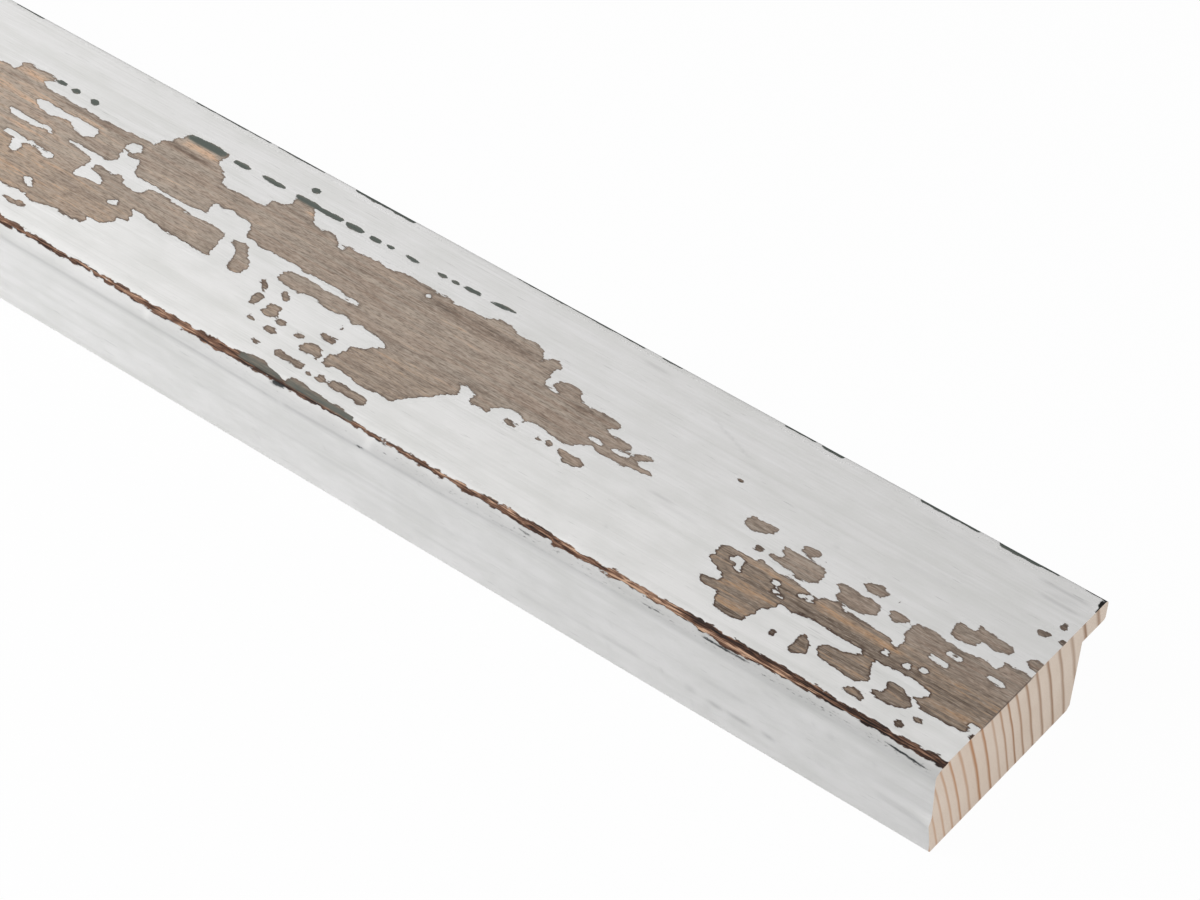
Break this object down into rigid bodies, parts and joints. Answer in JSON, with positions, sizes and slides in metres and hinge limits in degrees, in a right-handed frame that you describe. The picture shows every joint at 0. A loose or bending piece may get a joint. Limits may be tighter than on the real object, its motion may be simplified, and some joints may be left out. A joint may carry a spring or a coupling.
{
  "type": "picture frame moulding",
  "caption": "Solid softwood picture frame moulding with a flat broad face, a flat outer side that leans in towards its foot, a rebate under the sight edge and square-cut ends.",
  "frame": {"origin": "middle of the length and of the width, on the back face that lies on the floor", "axes": "+X along the length, +Y from the outer side towards the sight edge with its lip, +Z from the back face up to the broad painted face"},
  "size_m": [1.2, 0.05, 0.02],
  "materials": {
    "painted_wood": "white paint, rubbed through to brown stained softwood"
  },
  "bodies": {
    "root": {"moulding": "painted_wood"}
  },
  "joints": []
}
